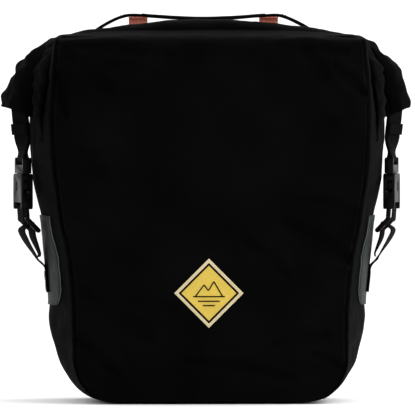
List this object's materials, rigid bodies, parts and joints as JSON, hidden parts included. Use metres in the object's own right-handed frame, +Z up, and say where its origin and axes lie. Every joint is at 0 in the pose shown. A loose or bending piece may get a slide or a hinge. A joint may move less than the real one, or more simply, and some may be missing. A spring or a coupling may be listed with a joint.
{
  "type": "pannier bag",
  "caption": "Black roll-top bicycle pannier with side buckles, red pull tabs and quick-release rack hooks on its back.",
  "frame": {"origin": "middle of the flat base, halfway between the front panel and the back panel", "axes": "+Z up, -Y towards the front of the bag, +X to the right of someone looking at the front"},
  "size_m": [0.422, 0.2032, 0.3996],
  "materials": {
    "shell_fabric": "black coated woven fabric, matt with a faint weave",
    "liner_fabric": "grey coated lining fabric",
    "stiffener_plastic": "flat black polyethylene sheet",
    "label": "yellow patch with a pale edge and dark stitching",
    "patch": "grey-green reinforcing patch with a cut edge",
    "black_webbing": "black woven webbing",
    "buckle_plastic": "moulded black acetal, satin",
    "rail": "dark anodised aluminium",
    "steel": "plated steel",
    "hook_plastic": "moulded black nylon",
    "latch_plastic": "moulded dark grey nylon",
    "red_webbing": "red woven webbing"
  },
  "bodies": {
    "shell": {"front_panel": "shell_fabric", "back_panel": "shell_fabric", "left_gusset": "shell_fabric", "right_gusset": "shell_fabric", "base_panel": "shell_fabric", "inner_liner": "liner_fabric", "base_board": "stiffener_plastic", "back_plate": "stiffener_plastic", "rolled_collar": "shell_fabric", "mouth_stiffener": "stiffener_plastic", "front_label": "label", "left_side_patch": "patch", "right_side_patch": "patch", "left_female_buckle": "buckle_plastic", "right_female_buckle": "buckle_plastic", "left_link_loop": "black_webbing", "right_link_loop": "black_webbing", "left_ladder_lock": "buckle_plastic", "right_ladder_lock": "buckle_plastic", "left_lower_webbing": "black_webbing", "right_lower_webbing": "black_webbing", "upper_rail": "rail", "lower_rail": "rail", "rail_screws": "steel", "rail_washers": "steel", "rail_nuts": "steel", "left_hook": "hook_plastic", "right_hook": "hook_plastic", "hook_screws": "steel", "left_latch_pin": "steel", "right_latch_pin": "steel", "left_latch_spring": "steel", "right_latch_spring": "steel", "left_handle_anchor": "hook_plastic", "right_handle_anchor": "hook_plastic", "anchor_rivets": "steel"},
    "handle": {"carry_handle": "black_webbing", "left_pull_tab": "red_webbing", "right_pull_tab": "red_webbing"},
    "left_latch_lever": {"left_latch": "latch_plastic"},
    "right_latch_lever": {"right_latch": "latch_plastic"},
    "hook_slider": {"lower_slider": "hook_plastic", "lower_pivot_cap": "steel"},
    "stay_hook": {"lower_hook": "hook_plastic"},
    "left_strap_end": {"left_male_buckle": "buckle_plastic", "left_upper_webbing": "black_webbing"},
    "right_strap_end": {"right_male_buckle": "buckle_plastic", "right_upper_webbing": "black_webbing"}
  },
  "joints": [
    {"name": "handle_lift", "type": "slide", "parent": "shell", "child": "handle", "axis": [0, 0, 1], "range_m": [0, 0.0047], "stiffness_N_per_m": 300, "springref_m": -0.003},
    {"name": "left_latch_turn", "type": "hinge", "parent": "shell", "child": "left_latch_lever", "pos_m": [-0.068, 0.106, 0.345], "axis": [1, 0, 0], "range_deg": [-24, 0], "deforming": ["left_latch_spring"]},
    {"name": "right_latch_turn", "type": "hinge", "parent": "shell", "child": "right_latch_lever", "pos_m": [0.068, 0.106, 0.345], "axis": [1, 0, 0], "range_deg": [-24, 0], "deforming": ["right_latch_spring"]},
    {"name": "stay_hook_slide", "type": "slide", "parent": "shell", "child": "hook_slider", "axis": [1, 0, 0], "range_m": [-0.035, 0.035]},
    {"name": "stay_hook_turn", "type": "hinge", "parent": "hook_slider", "child": "stay_hook", "pos_m": [0, 0.0948, 0.095], "axis": [0, 1, 0], "range_deg": [-90, 90]},
    {"name": "left_buckle_release", "type": "slide", "parent": "shell", "child": "left_strap_end", "axis": [0, 0, 1], "range_m": [0, 0.0225], "deforming": ["left_upper_webbing"]},
    {"name": "right_buckle_release", "type": "slide", "parent": "shell", "child": "right_strap_end", "axis": [0, 0, 1], "range_m": [0, 0.0225], "deforming": ["right_upper_webbing"]}
  ],
  "couplings": [
    {"joint": "left_latch_turn", "follows": "handle_lift", "rad_per_m": -88.5},
    {"joint": "right_latch_turn", "follows": "handle_lift", "rad_per_m": -88.5}
  ]
}
